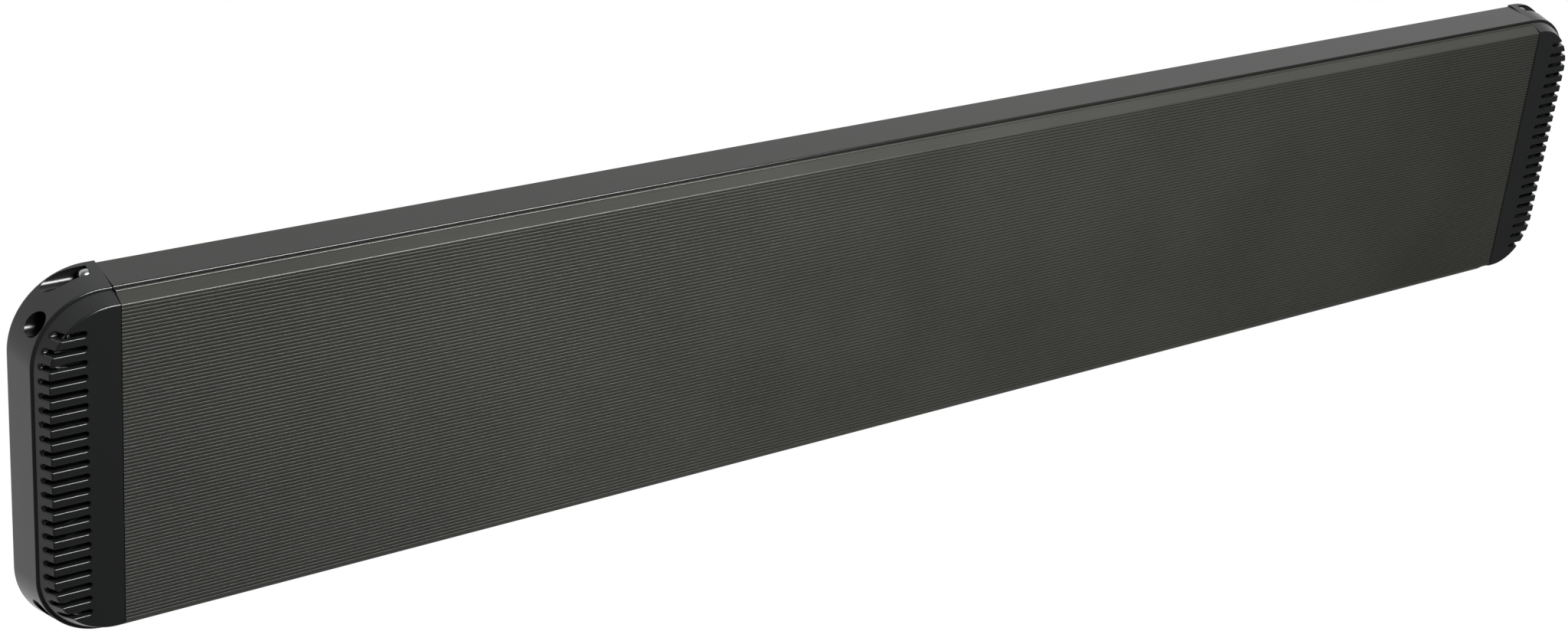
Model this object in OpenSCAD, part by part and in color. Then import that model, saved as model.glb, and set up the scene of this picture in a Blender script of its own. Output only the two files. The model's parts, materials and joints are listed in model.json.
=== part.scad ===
// Wall-hung radiant strip heater: a ribbed emitter in a drafted housing between two vented end caps,
// hung on two tilting brackets. X runs along the heater, the face looks along -Y, and Z is up.
// The origin is the centre of the wall-screw pattern, on the wall's plane.

/* [Body] */
// Length over both end caps
length = 1026; // [700:2:1500]
// Height at the back edge
height = 180; // [176:1:200]
// Depth of the body, from its front face to its back face
body_depth = 29; // [28:0.5:34]
// Depth of the front tier, which holds the emitter
front_depth = 8.4; // [8:0.1:9]
// How far the top and bottom lean in over the rear tier
rear_draft = 5; // [3:0.5:6]
// How far the top and bottom lean in over the front tier
front_draft = 3.5; // [2:0.5:4]
// Step between the rear tier and the front tier
ledge = 1.3; // [0.8:0.1:2]

/* [End caps] */
// Width of an end cap on the face, with its seal
cap_width = 41; // [38:1:46]
// How far a cap's end leans in over the rear tier
rear_end_draft = 3; // [2:0.5:5]
// How far a cap's end leans in over the front tier
front_end_draft = 4; // [2:0.5:5]
// Corner radius at the back edge
back_radius = 36.5; // [34:0.5:40]
// Corner radius at the front edge
front_radius = 29.7; // [28:0.1:32]
// Wall of an end cap
cap_wall = 2.4; // [2:0.1:3]
// Number of vent slots in each cap
slot_count = 21; // [9:2:21]
// Distance from one vent slot to the next
slot_pitch = 6.93; // [6.5:0.01:7]
// Height of a vent slot
slot_height = 2.7; // [2:0.1:3.2]
// How far a slot runs in from the cap's end, across the face
slot_reach = 25.5; // [20:0.5:28]
// How far a slot runs back from the face, on the cap's side
slot_back = 5.8; // [5:0.1:6.2]

/* [Emitter] */
// Number of ribs on the face
rib_count = 88; // [40:1:90]
// Height of a rib
rib_height = 1.1; // [0.8:0.1:1.4]
// Thickness of the plate behind the ribs
plate_wall = 2.8; // [2.5:0.1:3]
// Radius of a heating element's sheath
element_radius = 4.25; // [4:0.05:4.3]
// Height of each heating element above or below the middle
element_offset = 40; // [36:1:42]
// Number of clamps along each heating element
clamp_count = 5; // [3:1:7]

/* [Brackets] */
// Distance of each bracket from the middle
bracket_offset = 300; // [150:10:300]
// Distance between the two wall screws of a bracket
wall_screw_spacing = 50; // [44:1:54]
// Radius of a wall-screw hole
wall_hole_radius = 3.25; // [2.5:0.25:3.5]
// Distance of the tilt axis from the wall
pivot_out = 24; // [24:1:30]
// Distance from the tilt axis to the face of the mounting rail
pivot_to_rail = 24; // [24:1:28]
// Radius of the pivot bolt
pivot_radius = 3; // [2.5:0.5:3]
// Radius of the circle on which the locking bolt sits
lock_circle = 17; // [16.5:0.5:17.5]
// Tilt each way from upright
tilt_limit = 30; // [10:1:30]

/* [Hidden] */

$fn = 48;
eps = 0.01;

// Colours
housing_grey = [0.28, 0.29, 0.28];
emitter_grey = [0.20, 0.20, 0.19];
cap_grey = [0.24, 0.25, 0.25];
steel = [0.62, 0.63, 0.64];
dark_steel = [0.16, 0.16, 0.17];
rubber_black = [0.05, 0.05, 0.05];
ceramic_white = [0.88, 0.86, 0.80];
bright_sheet = [0.8, 0.81, 0.82];
fibre_white = [0.92, 0.90, 0.84];
brass = [0.78, 0.62, 0.30];
lead_brown = [0.45, 0.25, 0.15];
lead_blue = [0.20, 0.35, 0.70];
lead_green = [0.45, 0.60, 0.20];

// Depths, as Y
rail_depth = 8;
rail_y = -(pivot_out + pivot_to_rail);
back_y = rail_y - rail_depth;
front_y = back_y - body_depth;
pivot_y = -pivot_out;

// Places along the body
cap_end = length / 2;
body_end = cap_end - cap_width;
seal_thickness = 0.6;
seam_x = body_end + seal_thickness;
emitter_gap = 0.4;

// Housing and emitter section
housing_wall = 2.2;
back_wall = 2;
lip_depth = 2;
lip_reach = 78.4;
emitter_inset = 0.4;
emitter_front = 0.3;
plate_back = emitter_front + rib_height + plate_wall;
bead_radius = 0.6;
flange_end = front_depth - 0.8;
flange_wall = 2.2;
face_half = height / 2 - rear_draft - ledge - front_draft - emitter_inset;
rib_field = 2 * (face_half - 1);
rib_pitch = rib_field / rib_count;

// Element seats
element_depth = plate_back + element_radius + 0.6;
seat_half = 13;
seat_radius = element_radius + 0.08;
clamp_foot = 9.5;
clamp_wall = 1.5;
clamp_length = 14;
clamp_screw_radius = 1.5;

// Screws through the caps: the corner pair near the back and the side pair near the front
corner_screw_z = height / 2 - 4.4;
corner_screw_depth = body_depth - 5.8;
corner_bore = 4.2;
corner_floor = 4.6;
side_screw_z = 71;
side_screw_depth = 14.5;
side_bore = 5.3;
side_floor = 2.8;
boss_wall = 1.8;
thread_radius = 1.6;
screw_clearance = 0.2;
corner_head = [2.9, 4.4]; // radius and height of each screw's head
side_head = [3.4, 2.6];
socket_radius = 1.5;

end_plate_wall = 1.2;
element_end = body_end + 6;
bush_length = 8;
pin_radius = 1.6;
pin_length = bush_length + 12;
nut_wall = 2.4;
nut_steps = [1, 6.3]; // places of the two nuts on a terminal pin
gland_x = body_end + 20;
gland_z = -18;

// Draft of the outline at a depth behind the face: [in from the top, in from the end, corner radius]
step_radius = (back_radius + front_radius) / 2;
back_edge = [0, 0, back_radius];
rear_step = [rear_draft, rear_end_draft, step_radius];
front_step = [rear_draft + ledge, rear_end_draft + ledge, step_radius - ledge / 2];
face_edge = front_step + [front_draft, front_end_draft, front_radius - step_radius + ledge / 2];

function lerp(a, b, t) = a + (b - a) * t;
function rear_top(depth) = height / 2 - rear_draft * (body_depth - depth) / (body_depth - front_depth);
function front_top(depth) =
    height / 2 - rear_draft - ledge - front_draft * (front_depth - depth) / front_depth;

// ---- Helpers ----

// Runs a section, drawn as [Y, Z], along X about the middle
module along_x(run) {
    translate([-run / 2, 0, 0]) rotate([90, 0, 90]) linear_extrude(run) children();
}

// Runs a section, drawn as [Y, Z], along X from start
module from_x(start, run) {
    translate([start, 0, 0]) rotate([90, 0, 90]) linear_extrude(run) children();
}

// A round bar along X
module bar_x(start, run, depth_y, z, radius, sides = 48) {
    translate([start, depth_y, z]) rotate([0, 90, 0]) cylinder(h = run, r = radius, $fn = sides);
}

// A round bar along Y
module bar_y(x, start, run, z, radius, sides = 48) {
    translate([x, start, z]) rotate([-90, 0, 0]) cylinder(h = run, r = radius, $fn = sides);
}

module above_and_below() {
    children();
    mirror([0, 0, 1]) children();
}

module both_sides() {
    children();
    mirror([1, 0, 0]) children();
}

module mirrored_section() {
    children();
    mirror([0, 1]) children();
}

// A rectangle in a section, given by its depths behind the face and its heights
module block(depth_a, depth_b, low, high) {
    translate([front_y + depth_a, low]) square([depth_b - depth_a, high - low]);
}

// ---- Extruded shells ----

// Points of the emitter's section are [depth behind the face, Z].
// One rib and the groove above it: a crest with a fine line along its middle, then the groove
function rib_points(i) =
    let (z = -rib_field / 2 + i * rib_pitch, floor = emitter_front + rib_height, w = rib_pitch)
    [
        [emitter_front, z],
        [emitter_front, z + 0.22 * w],
        [emitter_front + 0.28, z + 0.31 * w],
        [emitter_front, z + 0.40 * w],
        [emitter_front, z + 0.62 * w],
        [floor, z + 0.72 * w],
        [floor, z + 0.90 * w]
    ];

flange_top = front_top(flange_end) - emitter_inset;
foot_front = front_depth + lip_depth + 0.4;
foot_back = foot_front + 1.5;
screw_groove = 1.5;

// The smooth flange with a bead along its back edge
flange_points = concat(
    [[emitter_front, rib_field / 2], [emitter_front, face_half]],
    [for (a = [180:-30:0])
        [flange_end - bead_radius + bead_radius * cos(a), flange_top - 0.3 + bead_radius * sin(a)]],
    [[flange_end, flange_top - flange_wall], [plate_back, face_half - 0.8]]
);

// The hook that slides behind the housing's lip
hook_points = [
    [plate_back, 78], [foot_front, 78], [foot_front, 82], [foot_back, 82], [foot_back, 76], [plate_back, 76]
];

// The groove for a clamp's screws, above (1) or below (-1) the element
function screw_groove_points(side) =
    let (middle = element_offset + side * clamp_foot, floor = element_depth - 3.8)
    [
        [element_depth, middle + screw_groove], [floor, middle + screw_groove],
        [floor, middle - screw_groove], [element_depth, middle - screw_groove]
    ];

// A seat that holds one element between two screw grooves
seat_points = concat(
    [[plate_back, element_offset + seat_half], [element_depth, element_offset + seat_half]],
    screw_groove_points(1),
    [for (a = [0:10:180])
        [element_depth - seat_radius * sin(a), element_offset + seat_radius * cos(a)]],
    screw_groove_points(-1),
    [[element_depth, element_offset - seat_half], [plate_back, element_offset - seat_half]]
);

upper_points = concat(flange_points, hook_points, seat_points);

module emitter_section() {
    lower_points = [for (i = [len(upper_points) - 1:-1:1]) [upper_points[i][0], -upper_points[i][1]]];
    translate([front_y, 0])
        polygon(concat([for (i = [0:rib_count - 1]) each rib_points(i)], upper_points, lower_points));
}

module emitter_panel() {
    color(emitter_grey) along_x(2 * (body_end - emitter_gap)) emitter_section();
}

module housing_section() {
    difference() {
        polygon([
            [back_y, -height / 2], [back_y, height / 2],
            [front_y + front_depth, rear_top(front_depth)],
            [front_y + front_depth, -rear_top(front_depth)]
        ]);
        inner_top = rear_top(front_depth) - housing_wall;
        polygon([
            [back_y - back_wall, -height / 2 + housing_wall], [back_y - back_wall, height / 2 - housing_wall],
            [front_y + front_depth - 1, inner_top], [front_y + front_depth - 1, -inner_top]
        ]);
    }
    mirrored_section() {
        block(front_depth, front_depth + lip_depth, lip_reach, rear_top(front_depth) - 1);
        difference() {
            union() {
                translate([front_y + corner_screw_depth, corner_screw_z - 0.2]) circle(3);
                block(side_screw_depth + 0.8, side_screw_depth + 2.4, side_screw_z,
                      rear_top(side_screw_depth) - 1);
                translate([front_y + side_screw_depth, side_screw_z]) circle(side_head[0]);
            }
            translate([front_y + side_screw_depth, side_screw_z]) circle(thread_radius);
        }
    }
}

module rear_housing() {
    color(housing_grey) difference() {
        along_x(2 * body_end) housing_section();
        both_sides() above_and_below()
            bar_x(body_end - 14, 15, front_y + corner_screw_depth, corner_screw_z, thread_radius);
        rivet_bars(back_y - back_wall - 1, back_wall + 2);
    }
}

// ---- End caps ----

// Outline of a cap at one depth, as [X, Z], from its seam to its rounded end
module cap_outline(edge, shrink) {
    half_x = cap_end - edge[1] - shrink;
    half_z = height / 2 - edge[0] - shrink;
    r = edge[2] - shrink;
    intersection() {
        translate([seam_x, -half_z]) square([cap_width, 2 * half_z]);
        union() {
            translate([seam_x - 1, -half_z]) square([half_x - r - seam_x + 1, 2 * half_z]);
            translate([seam_x, -half_z + r]) square([half_x - seam_x, 2 * (half_z - r)]);
            for (side = [-1, 1])
                translate([half_x - r, side * (half_z - r)]) circle(r, $fn = 64);
        }
    }
}

module cap_slab(depth, edge, shrink) {
    translate([0, front_y + depth + eps, 0]) rotate([90, 0, 0]) linear_extrude(2 * eps)
        cap_outline(edge, shrink);
}

module cap_solid() {
    hull() {
        cap_slab(body_depth - eps, back_edge, 0);
        cap_slab(front_depth + eps, rear_step, 0);
    }
    hull() {
        cap_slab(front_depth + eps, front_step, 0);
        cap_slab(eps, face_edge, 0);
    }
}

module cap_hollow() {
    hull() {
        cap_slab(body_depth - cap_wall, lerp(back_edge, rear_step, 0.1), cap_wall);
        cap_slab(front_depth + cap_wall, lerp(rear_step, back_edge, 0.1), cap_wall);
    }
    hull() {
        cap_slab(front_depth + cap_wall + 0.5, front_step, cap_wall);
        cap_slab(cap_wall, lerp(face_edge, front_step, 0.28), cap_wall);
    }
}

// A vent slot: it wraps the front edge and is rounded at both of its ends
module vent_slot(z) {
    r = slot_height / 2;
    far = cap_end + 5;
    near = cap_end - slot_reach;
    intersection() {
        translate([0, front_y + slot_back + 2, z]) rotate([90, 0, 0]) linear_extrude(slot_back + 4) {
            translate([near + r, -r]) square([far - near - r, slot_height]);
            translate([near + r, 0]) circle(r, $fn = 24);
        }
        from_x(near - 2, far - near + 4) {
            translate([front_y - 1, z - r]) square([slot_back + 1 - r, slot_height]);
            translate([front_y + slot_back - r, z]) circle(r, $fn = 24);
        }
    }
}

module cap_bosses() {
    above_and_below() {
        bar_x(seam_x, cap_width, front_y + corner_screw_depth, corner_screw_z, corner_bore + boss_wall);
        bar_x(body_end + end_plate_wall, cap_width, front_y + side_screw_depth, side_screw_z,
              side_bore + boss_wall);
    }
}

module cap_bores() {
    above_and_below() {
        bar_x(seam_x + corner_floor, cap_width, front_y + corner_screw_depth, corner_screw_z, corner_bore);
        bar_x(seam_x - 1, cap_width, front_y + corner_screw_depth, corner_screw_z,
              thread_radius + screw_clearance);
        bar_x(body_end + end_plate_wall + side_floor, cap_width, front_y + side_screw_depth, side_screw_z,
              side_bore);
        bar_x(body_end, cap_width, front_y + side_screw_depth, side_screw_z, thread_radius + screw_clearance);
    }
}

// The right-hand cap; the left-hand one is its mirror image
module cap_shell() {
    difference() {
        union() {
            difference() {
                cap_solid();
                cap_hollow();
            }
            intersection() {
                cap_bosses();
                cap_solid();
            }
        }
        cap_bores();
        for (i = [0:slot_count - 1])
            vent_slot((i - (slot_count - 1) / 2) * slot_pitch);
    }
}

module end_cap_left() {
    color(cap_grey) mirror([1, 0, 0]) cap_shell();
}

module end_cap_right() {
    color(cap_grey) difference() {
        cap_shell();
        bar_y(gland_x, back_y - 4, 5, gland_z, 8.1); // clear of the gland's thread
    }
}

module end_seal() {
    from_x(body_end, seal_thickness) difference() {
        polygon([
            [back_y - 0.8, -height / 2 + 1], [back_y - 0.8, height / 2 - 1],
            [front_y + front_depth + 0.8, rear_top(front_depth) - 1],
            [front_y + front_depth + 0.8, -rear_top(front_depth) + 1]
        ]);
        polygon([
            [back_y - back_wall, -height / 2 + 2.3], [back_y - back_wall, height / 2 - 2.3],
            [front_y + front_depth - 1, rear_top(front_depth) - 2.4],
            [front_y + front_depth - 1, -rear_top(front_depth) + 2.4]
        ]);
        mirrored_section()
            translate([front_y + corner_screw_depth, corner_screw_z]) circle(thread_radius + screw_clearance);
    }
}

module end_seal_left() {
    color(rubber_black) mirror([1, 0, 0]) end_seal();
}

module end_seal_right() {
    color(rubber_black) end_seal();
}

// Closes the end of the extrusions and carries the wiring
module end_plate() {
    from_x(body_end, end_plate_wall) difference() {
        block(5, body_depth - 3.5, -77, 77);
        mirrored_section() {
            translate([front_y + element_depth, element_offset]) circle(element_radius + 0.3);
            translate([front_y + side_screw_depth, side_screw_z]) circle(thread_radius + screw_clearance);
        }
    }
}

module end_plate_left() {
    color(steel) mirror([1, 0, 0]) difference() {
        end_plate();
        cutout_screw_bars(body_end - 1);
    }
}

module end_plate_right() {
    color(steel) end_plate();
}

// ---- Cap screws ----

module corner_screws() {
    above_and_below() difference() {
        union() {
            bar_x(body_end - 12, corner_floor + seal_thickness + 12, front_y + corner_screw_depth,
                  corner_screw_z, thread_radius);
            bar_x(seam_x + corner_floor, corner_head[1], front_y + corner_screw_depth, corner_screw_z,
                  corner_head[0]);
        }
        bar_x(seam_x + corner_floor + 2, 4, front_y + corner_screw_depth, corner_screw_z, socket_radius, 6);
    }
}

module corner_screws_left() {
    color(steel) mirror([1, 0, 0]) corner_screws();
}

module corner_screws_right() {
    color(steel) corner_screws();
}

module side_screws() {
    head_x = body_end + end_plate_wall + side_floor;
    above_and_below() difference() {
        union() {
            bar_x(body_end - 10, head_x - body_end + 10, front_y + side_screw_depth, side_screw_z,
                  thread_radius);
            bar_x(head_x, side_head[1], front_y + side_screw_depth, side_screw_z, side_head[0]);
        }
        bar_x(head_x + 1, 2, front_y + side_screw_depth, side_screw_z, socket_radius, 6);
    }
}

module side_screws_left() {
    color(steel) mirror([1, 0, 0]) side_screws();
}

module side_screws_right() {
    color(steel) side_screws();
}

// ---- Heating elements ----

module heating_element_upper() {
    color(steel)
        bar_x(-element_end, 2 * element_end, front_y + element_depth, element_offset, element_radius);
}

module heating_element_lower() {
    color(steel)
        bar_x(-element_end, 2 * element_end, front_y + element_depth, -element_offset, element_radius);
}

module element_bushes() {
    color(ceramic_white) both_sides() above_and_below() difference() {
        union() {
            bar_x(element_end, bush_length, front_y + element_depth, element_offset, element_radius);
            bar_x(element_end + 2, 2, front_y + element_depth, element_offset, element_radius + 0.8);
        }
        bar_x(element_end - 1, bush_length + 2, front_y + element_depth, element_offset, pin_radius);
    }
}

module element_terminals() {
    color(steel) both_sides() above_and_below()
        bar_x(element_end, pin_length, front_y + element_depth, element_offset, pin_radius, 24);
}

module terminal_nuts() {
    color(steel) both_sides() above_and_below() for (step = nut_steps) difference() {
        bar_x(element_end + bush_length + step, nut_wall, front_y + element_depth, element_offset, 3.6, 6);
        bar_x(element_end + bush_length + step - 1, nut_wall + 2, front_y + element_depth, element_offset,
              pin_radius, 24);
    }
}

// A saddle that presses the element into its seat
module clamp_saddle(x) {
    from_x(x - clamp_length / 2, clamp_length) difference() {
        union() {
            intersection() {
                translate([front_y + element_depth, element_offset]) circle(element_radius + clamp_wall);
                block(element_depth, element_depth + 8, element_offset - seat_half,
                      element_offset + seat_half);
            }
            block(element_depth, element_depth + clamp_wall, element_offset - seat_half,
                  element_offset + seat_half);
        }
        translate([front_y + element_depth, element_offset]) circle(element_radius);
    }
}

function clamp_x(i) = lerp(-body_end + 60, body_end - 60, i / (clamp_count - 1));

module element_clamps() {
    color(steel) above_and_below() for (i = [0:clamp_count - 1]) difference() {
        clamp_saddle(clamp_x(i));
        for (side = [-1, 1])
            bar_y(clamp_x(i), front_y + element_depth - 1, clamp_wall + 2,
                  element_offset + side * clamp_foot, clamp_screw_radius, 24);
    }
}

module clamp_screws() {
    color(dark_steel) above_and_below() for (i = [0:clamp_count - 1]) for (side = [-1, 1]) {
        z = element_offset + side * clamp_foot;
        bar_y(clamp_x(i), front_y + element_depth - 3.5, clamp_wall + 3.5, z, clamp_screw_radius, 24);
        bar_y(clamp_x(i), front_y + element_depth + clamp_wall, 1.8, z, 2.7, 24);
    }
}

sheet_half = 64;
reflector_depth = 16;
reflector_wall = 0.5;
blanket_gap = 0.3;

module reflector_sheet() {
    color(bright_sheet) along_x(2 * body_end - 8)
        block(reflector_depth, reflector_depth + reflector_wall, -sheet_half, sheet_half);
}

module insulation_blanket() {
    color(fibre_white) along_x(2 * body_end - 12)
        block(reflector_depth + reflector_wall + blanket_gap, body_depth - back_wall - 1.2, -sheet_half,
              sheet_half);
}

// ---- Wiring, in the right-hand cap ----

plate_depth = 24;
plate_low = -8;
plate_high = 50;
stud_x = gland_x + 2;
stud_z = 43;
stud_radius = 2;
block_low = -6;
block_pitch = 11;
way_radius = 2.4;
way_xs = [body_end + 12, body_end + 22];

function way_z(way) = block_low + 6.5 + way * block_pitch;

module terminal_plate() {
    color(steel) difference() {
        union() {
            from_x(body_end + end_plate_wall, 30) block(plate_depth, plate_depth + 1, plate_low, plate_high);
            from_x(body_end + end_plate_wall, 1) block(14, plate_depth + 1, plate_low, plate_high);
        }
        bar_y(stud_x, front_y + plate_depth - 1, 3, stud_z, stud_radius, 24);
    }
}

module terminal_block() {
    color(ceramic_white) difference() {
        from_x(body_end + 7, 20) block(12, plate_depth, block_low, block_low + 3 * block_pitch + 2);
        for (way = [0:2]) {
            bar_x(body_end + 6, 22, front_y + 18, way_z(way), way_radius, 24);
            for (x = way_xs)
                bar_y(x, front_y + 11, 6, way_z(way), way_radius, 24);
        }
    }
}

module terminal_screws() {
    color(brass) for (way = [0:2]) for (x = way_xs) difference() {
        bar_y(x, front_y + 13, 4, way_z(way), way_radius, 24);
        translate([x - 3, front_y + 12, way_z(way) - 0.4]) cube([6, 1.8, 0.8]);
    }
}

module earth_stud() {
    color(brass) {
        bar_y(stud_x, front_y + 15, plate_depth - 14, stud_z, stud_radius, 24);
        bar_y(stud_x, front_y + plate_depth + 1, 1.2, stud_z, 3.4, 24);
    }
}

module earth_nut() {
    color(brass) difference() {
        union() {
            bar_y(stud_x, front_y + plate_depth - 3, 3, stud_z, 3.8, 6);
            bar_y(stud_x, front_y + plate_depth - 7.5, 2.6, stud_z, 3.8, 6);
            bar_y(stud_x, front_y + plate_depth - 5, 2.1, stud_z, 4.2, 24);
        }
        bar_y(stud_x, front_y + 14, 12, stud_z, stud_radius, 24);
    }
}

// The cut-out stands on the left-hand end plate, in series between the two elements
cutout_depth = 15;
cutout_flange = 13;
cutout_screw_z = 10.5;
cutout_base = body_end + end_plate_wall;

module cutout_screw_bars(start, run = 6, radius = 1.5) {
    above_and_below() bar_x(start, run, front_y + cutout_depth, cutout_screw_z, radius, 24);
}

module thermal_cutout() {
    color(dark_steel) mirror([1, 0, 0]) difference() {
        union() {
            from_x(cutout_base, 1.2)
                block(cutout_depth - 3.5, cutout_depth + 3.5, -cutout_flange, cutout_flange);
            bar_x(cutout_base, 9, front_y + cutout_depth, 0, 7);
            for (z = [-5, 2.2])
                from_x(cutout_base + 8, 8) block(cutout_depth - 0.4, cutout_depth + 0.4, z, z + 2.8);
        }
        cutout_screw_bars(cutout_base - 1);
    }
}

module cutout_screws() {
    color(steel) mirror([1, 0, 0]) {
        cutout_screw_bars(body_end, end_plate_wall + 1.2);
        cutout_screw_bars(cutout_base + 1.2, 1.6, 2.7);
    }
}

// ---- Leads, swept along curves ----

function bezier(p, t) =
    pow(1 - t, 3) * p[0] + 3 * pow(1 - t, 2) * t * p[1] + 3 * (1 - t) * t * t * p[2] + pow(t, 3) * p[3];
function bezier_slope(p, t) =
    3 * pow(1 - t, 2) * (p[1] - p[0]) + 6 * (1 - t) * t * (p[2] - p[1]) + 3 * t * t * (p[3] - p[2]);
function unit(v) = v / norm(v);

lead_sides = 10;
lead_rings = 14;

// A lead along one cubic curve, which never runs along Y
module lead(p, radius) {
    rings = [for (i = [0:lead_rings])
        let (t = i / lead_rings, along = unit(bezier_slope(p, t)), side = unit(cross(along, [0, 1, 0])),
             across = cross(side, along))
        [for (k = [0:lead_sides - 1])
            let (angle = 360 * k / lead_sides)
            bezier(p, t) + radius * (cos(angle) * side + sin(angle) * across)]];
    skin = [for (i = [0:lead_rings - 1]) for (k = [0:lead_sides - 1])
        let (next = (k + 1) % lead_sides, a = i * lead_sides, b = a + lead_sides)
        [a + k, a + next, b + next, b + k]];
    start_face = [for (k = [0:lead_sides - 1]) lead_sides - 1 - k];
    end_face = [for (k = [0:lead_sides - 1]) lead_rings * lead_sides + k];
    polyhedron([for (ring = rings) each ring], concat(skin, [start_face, end_face]), convexity = 4);
}

lead_radius = 1.25;
pin_x = element_end + bush_length + 4.85;
pin_y = front_y + element_depth;
pin_z = element_offset - 2.1;
block_x = body_end + 24.9;
block_y = front_y + 18;
tab_x = cutout_base + 17.3;
tab_y = front_y + cutout_depth;

module lead_live() {
    color(lead_brown)
        lead([[block_x, block_y, 11.5], [block_x + 24, block_y - 4.8, 13.5], [pin_x + 0.6, pin_y, 25],
              [pin_x, pin_y, pin_z]], lead_radius);
}

module lead_neutral() {
    color(lead_blue)
        lead([[block_x, block_y, 0.5], [block_x + 16, block_y, 0.5], [pin_x, pin_y, -18],
              [pin_x, pin_y, -pin_z]], lead_radius);
}

module lead_earth() {
    color(lead_green)
        lead([[block_x, block_y, 22.5], [block_x + 15, block_y, 22.5], [stud_x + 6, front_y + 19.5, 32],
              [stud_x + 5.6, front_y + 19.5, stud_z]], lead_radius);
}

// The right-hand form of the two link leads, which lie in the left-hand cap
module link_lead() {
    lead([[pin_x, pin_y, pin_z], [pin_x, pin_y, 22], [tab_x + 6, tab_y, 3.6], [tab_x, tab_y, 3.6]],
         lead_radius);
}

module lead_link_upper() {
    color(rubber_black) mirror([1, 0, 0]) link_lead();
}

module lead_link_lower() {
    color(rubber_black) mirror([1, 0, 0]) mirror([0, 0, 1]) link_lead();
}

// ---- Cable gland, in the back of the right-hand cap ----

gland_thread = 8;
gland_hex = 11;
cable_hole = 4.6;
seal_hole = 4;
seal_radius = 6.4;

module cable_gland() {
    color(dark_steel) difference() {
        union() {
            bar_y(gland_x, back_y - 8, 22, gland_z, gland_thread);
            bar_y(gland_x, back_y, 4, gland_z, gland_hex, 6);
        }
        bar_y(gland_x, back_y - 9, 12, gland_z, cable_hole);
        bar_y(gland_x, back_y + 2, 13, gland_z, seal_radius);
    }
}

module gland_seal() {
    color(rubber_black) difference() {
        bar_y(gland_x, back_y + 3, 10, gland_z, seal_radius);
        bar_y(gland_x, back_y + 2, 12, gland_z, seal_hole);
    }
}

module gland_cap() {
    color(dark_steel) difference() {
        union() {
            bar_y(gland_x, back_y + 4.4, 9, gland_z, gland_hex, 6);
            bar_y(gland_x, back_y + 13, 4, gland_z, 9);
        }
        bar_y(gland_x, back_y + 4, 10.2, gland_z, gland_thread);
        bar_y(gland_x, back_y + 4, 16, gland_z, cable_hole);
    }
}

module gland_locknut() {
    color(dark_steel) difference() {
        bar_y(gland_x, back_y - cap_wall - 3.2, 3.2, gland_z, gland_hex, 6);
        bar_y(gland_x, back_y - 8, 8, gland_z, gland_thread);
    }
}

// ---- Mounting rail ----

rail_half = 11;
rail_wall = 2;
rail_mouth = 4.2;
rail_length = 860;
rivet_step = 140;

module mounting_rail() {
    color(housing_grey) difference() {
        along_x(rail_length) difference() {
            translate([back_y, -rail_half]) square([rail_depth, 2 * rail_half]);
            translate([back_y + rail_wall, -rail_half + rail_wall])
                square([rail_depth - 2 * rail_wall, 2 * (rail_half - rail_wall)]);
            translate([back_y + rail_wall, -rail_mouth]) square([rail_depth, 2 * rail_mouth]);
        }
        rivet_bars(back_y - 1, rail_wall + 2);
    }
}

// One bar at each rivet, from start along Y
module rivet_bars(start, run, radius = 2) {
    for (i = [-2.5:1:2.5])
        bar_y(i * rivet_step, start, run, 0, radius, 24);
}

module rail_rivets() {
    color(steel) {
        rivet_bars(back_y - back_wall, back_wall + rail_wall);
        rivet_bars(back_y + rail_wall, 1, 3.6);
        rivet_bars(back_y - back_wall - 0.9, 0.9, 3);
    }
}

bolt_xs = [14, 30]; // from the pivot's plane
bolt_radius = 3;

module rail_nuts() {
    color(steel) both_sides() for (x = bolt_xs) difference() {
        translate([bracket_offset - x - 6, back_y + rail_wall + 0.6, -8.6]) cube([12, 3.2, 17.2]);
        bar_y(bracket_offset - x, back_y, rail_depth, 0, bolt_radius);
    }
}

module rail_bolts() {
    color(dark_steel) both_sides() for (x = bolt_xs) {
        bar_y(bracket_offset - x, back_y + rail_wall + 0.4, rail_depth - rail_wall + 2.6, 0, bolt_radius);
        bar_y(bracket_offset - x, rail_y + 3, 3.6, 0, 5, 6);
    }
}

// ---- Brackets: each ear stands on the plane of the pivot, and the swivel ear is on the inner side ----

ear_wall = 3;
ear_gap = 0.3;
ear_radius = 23.2;
lock_radius = 2.5;
lock_clearance = 0.3;
pivot_clearance = 0.05;

// The right-hand swivel bracket: a foot on the rail and an ear with the pivot and lock holes
module swivel_bracket() {
    difference() {
        union() {
            translate([bracket_offset - 42, rail_y, -15]) cube([42 - ear_gap, 3, 30]);
            from_x(bracket_offset - ear_gap - ear_wall, ear_wall) {
                translate([rail_y, -15]) square([4, 30]);
                translate([rail_y, -11]) square([pivot_y - rail_y, 22]);
                translate([pivot_y, 0]) circle(11);
                translate([pivot_y - 8, 0]) square([16, lock_circle]);
                translate([pivot_y, lock_circle]) circle(8);
            }
        }
        bar_x(bracket_offset - 6, 8, pivot_y, 0, pivot_radius);
        bar_x(bracket_offset - 6, 8, pivot_y, lock_circle, lock_radius);
        for (x = bolt_xs)
            bar_y(bracket_offset - x, rail_y - 1, 5, 0, 3.2);
    }
}

module swivel_bracket_left() {
    color(housing_grey) mirror([1, 0, 0]) swivel_bracket();
}

module swivel_bracket_right() {
    color(housing_grey) swivel_bracket();
}

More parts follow.
